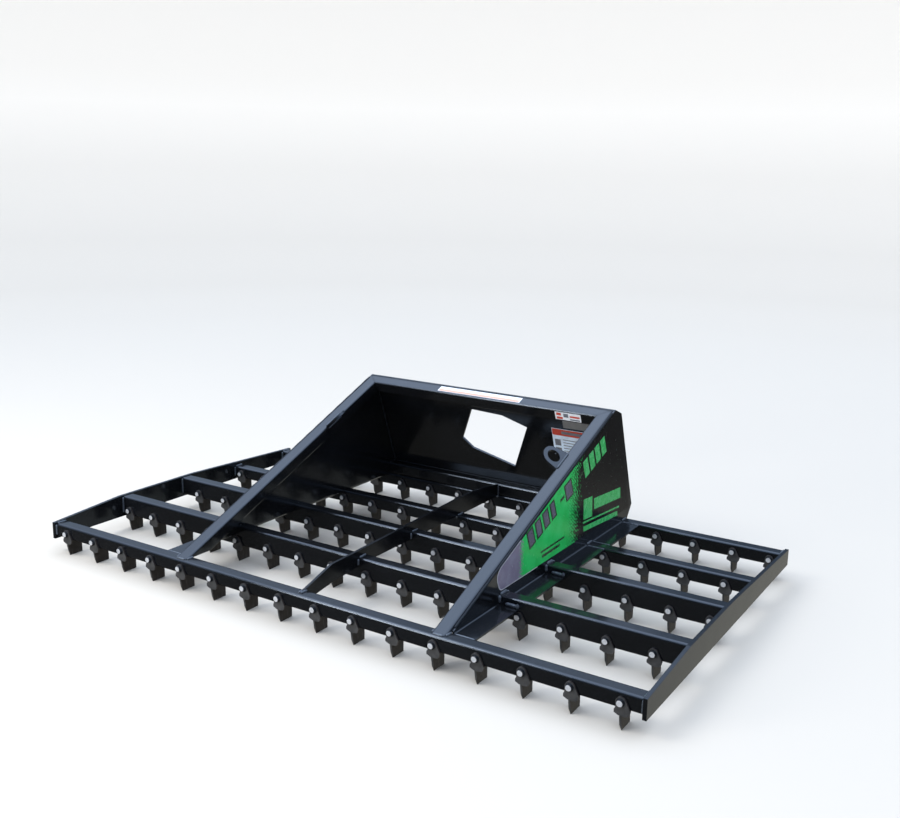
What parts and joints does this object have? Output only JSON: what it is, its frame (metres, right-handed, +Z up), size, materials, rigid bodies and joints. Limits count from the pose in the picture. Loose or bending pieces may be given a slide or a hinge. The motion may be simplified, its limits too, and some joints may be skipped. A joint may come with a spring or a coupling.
{
  "type": "lawn dethatcher",
  "caption": "Wide lawn dethatcher with staggered rows of bolted tine plates under an open steel bucket frame that hangs on a loader's quick-attach plate.",
  "frame": {"origin": "middle of the footprint, at the height of the tine tips", "axes": "+X to the right as the machine is seen from in front, -Y towards the open front, +Z up; the loader couples on the +Y side"},
  "size_m": [2.4384, 1.411, 0.593],
  "materials": {
    "frame_paint": "glossy black enamel, chipped and dusty at the edges",
    "tooth_paint": "satin dark grey paint, worn at the tips",
    "zinc_plate": "bright zinc plate",
    "washer_dark": "dark, dull plating",
    "decal_print": "printed vinyl film, no lettering"
  },
  "bodies": {
    "root": {"back_plate": "frame_paint", "center_divider": "frame_paint", "coupler_bottom_flange": "frame_paint", "coupler_top_flange": "frame_paint", "crossbar_row_1": "frame_paint", "crossbar_row_2": "frame_paint", "crossbar_row_3": "frame_paint", "crossbar_row_4": "frame_paint", "crossbar_row_5": "frame_paint", "end_plate_left": "frame_paint", "end_plate_right": "frame_paint", "rear_cross_tube": "frame_paint", "side_plate_left": "frame_paint", "side_plate_right": "frame_paint", "side_tube_left": "frame_paint", "side_tube_right": "frame_paint", "teeth_row_1": "tooth_paint", "teeth_row_2": "tooth_paint", "teeth_row_3": "tooth_paint", "teeth_row_4": "tooth_paint", "teeth_row_5": "tooth_paint", "tie_down_eye_left": "frame_paint", "tie_down_eye_right": "frame_paint", "tooth_bolts_row_1": "zinc_plate", "tooth_bolts_row_2": "zinc_plate", "tooth_bolts_row_3": "zinc_plate", "tooth_bolts_row_4": "zinc_plate", "tooth_bolts_row_5": "zinc_plate", "tooth_nuts_row_1": "zinc_plate", "tooth_nuts_row_2": "zinc_plate", "tooth_nuts_row_3": "zinc_plate", "tooth_nuts_row_4": "zinc_plate", "tooth_nuts_row_5": "zinc_plate", "tooth_washers_row_1": "washer_dark", "tooth_washers_row_2": "washer_dark", "tooth_washers_row_3": "washer_dark", "tooth_washers_row_4": "washer_dark", "tooth_washers_row_5": "washer_dark", "top_tube": "frame_paint"}
  },
  "joints": []
}
